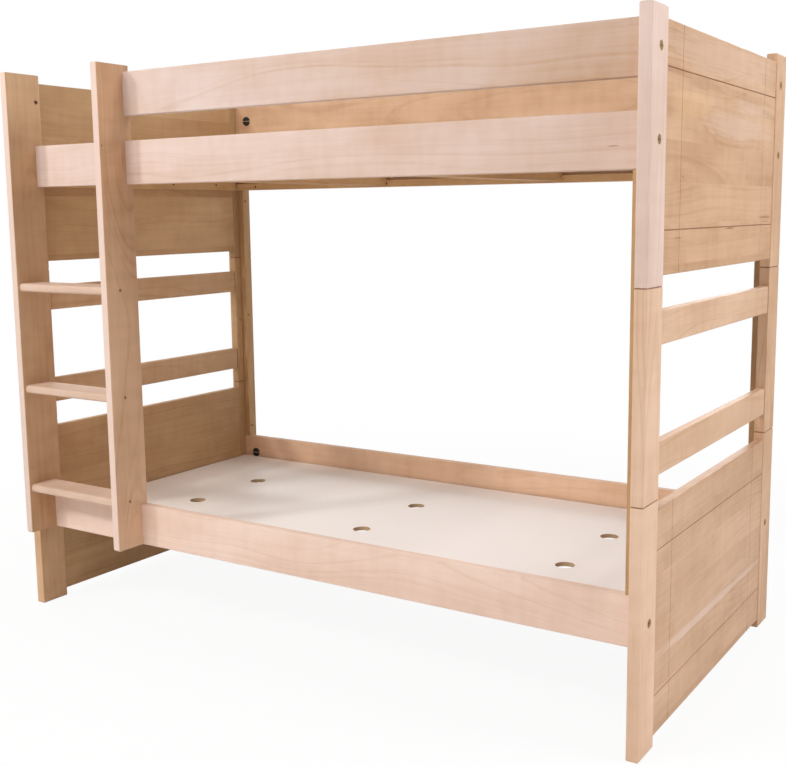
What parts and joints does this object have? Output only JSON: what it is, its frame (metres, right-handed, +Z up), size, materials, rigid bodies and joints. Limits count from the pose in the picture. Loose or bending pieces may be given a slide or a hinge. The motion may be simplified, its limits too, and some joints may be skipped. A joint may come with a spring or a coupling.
{
  "type": "bunk bed",
  "caption": "Solid wood bunk bed of stacked end frames with side rails, guard rails, a front ladder and perforated white base boards.",
  "frame": {"origin": "on the floor, under the middle of the bed's outline, ladder included", "axes": "+X along the bed, away from the ladder end; +Y from the ladder side to the rear; +Z up"},
  "size_m": [2.08, 1.136, 1.694],
  "materials": {
    "beech": "pale pinkish beech, lightly oiled, satin",
    "white_board": "smooth white melamine-faced board, satin",
    "dowel_beech": "unfinished dowel",
    "bolt_brass": "yellow-passivated, satin",
    "nut_black": "blackened",
    "pin_steel": "zinc-plated",
    "screw_steel": "zinc-plated",
    "screw_black": "dark phosphated"
  },
  "bodies": {
    "root": {"barrel_nuts": "nut_black", "cleat_screws": "screw_black", "corner_batten_front_right": "beech", "corner_batten_rear_left": "beech", "corner_batten_rear_right": "beech", "frame_dowels": "dowel_beech", "frame_screws": "screw_steel", "guard_rail_front": "beech", "guard_rail_rear": "beech", "ladder_stile_left": "beech", "ladder_stile_right": "beech", "ladder_tread_high": "beech", "ladder_tread_low": "beech", "ladder_tread_middle": "beech", "lower_base_board": "white_board", "lower_bearer_left": "beech", "lower_bearer_right": "beech", "lower_end_cleat_left": "beech", "lower_end_cleat_right": "beech", "lower_panel_left": "beech", "lower_panel_right": "beech", "lower_post_front_left": "beech", "lower_post_front_right": "beech", "lower_post_rear_left": "beech", "lower_post_rear_right": "beech", "lower_side_cleat_front": "beech", "lower_side_cleat_rear": "beech", "lower_side_rail_front": "beech", "lower_side_rail_rear": "beech", "rail_bolts": "bolt_brass", "spacer_post_front_left": "beech", "spacer_post_front_right": "beech", "spacer_post_rear_left": "beech", "spacer_post_rear_right": "beech", "spacer_rail_high_left": "beech", "spacer_rail_high_right": "beech", "spacer_rail_low_left": "beech", "spacer_rail_low_right": "beech", "stacking_pins": "pin_steel", "upper_base_board": "white_board", "upper_bearer_left": "beech", "upper_bearer_right": "beech", "upper_end_cleat_left": "beech", "upper_end_cleat_right": "beech", "upper_panel_left": "beech", "upper_panel_right": "beech", "upper_post_front_left": "beech", "upper_post_front_right": "beech", "upper_post_rear_left": "beech", "upper_post_rear_right": "beech", "upper_side_cleat_front": "beech", "upper_side_cleat_rear": "beech", "upper_side_rail_front": "beech", "upper_side_rail_rear": "beech"}
  },
  "joints": []
}
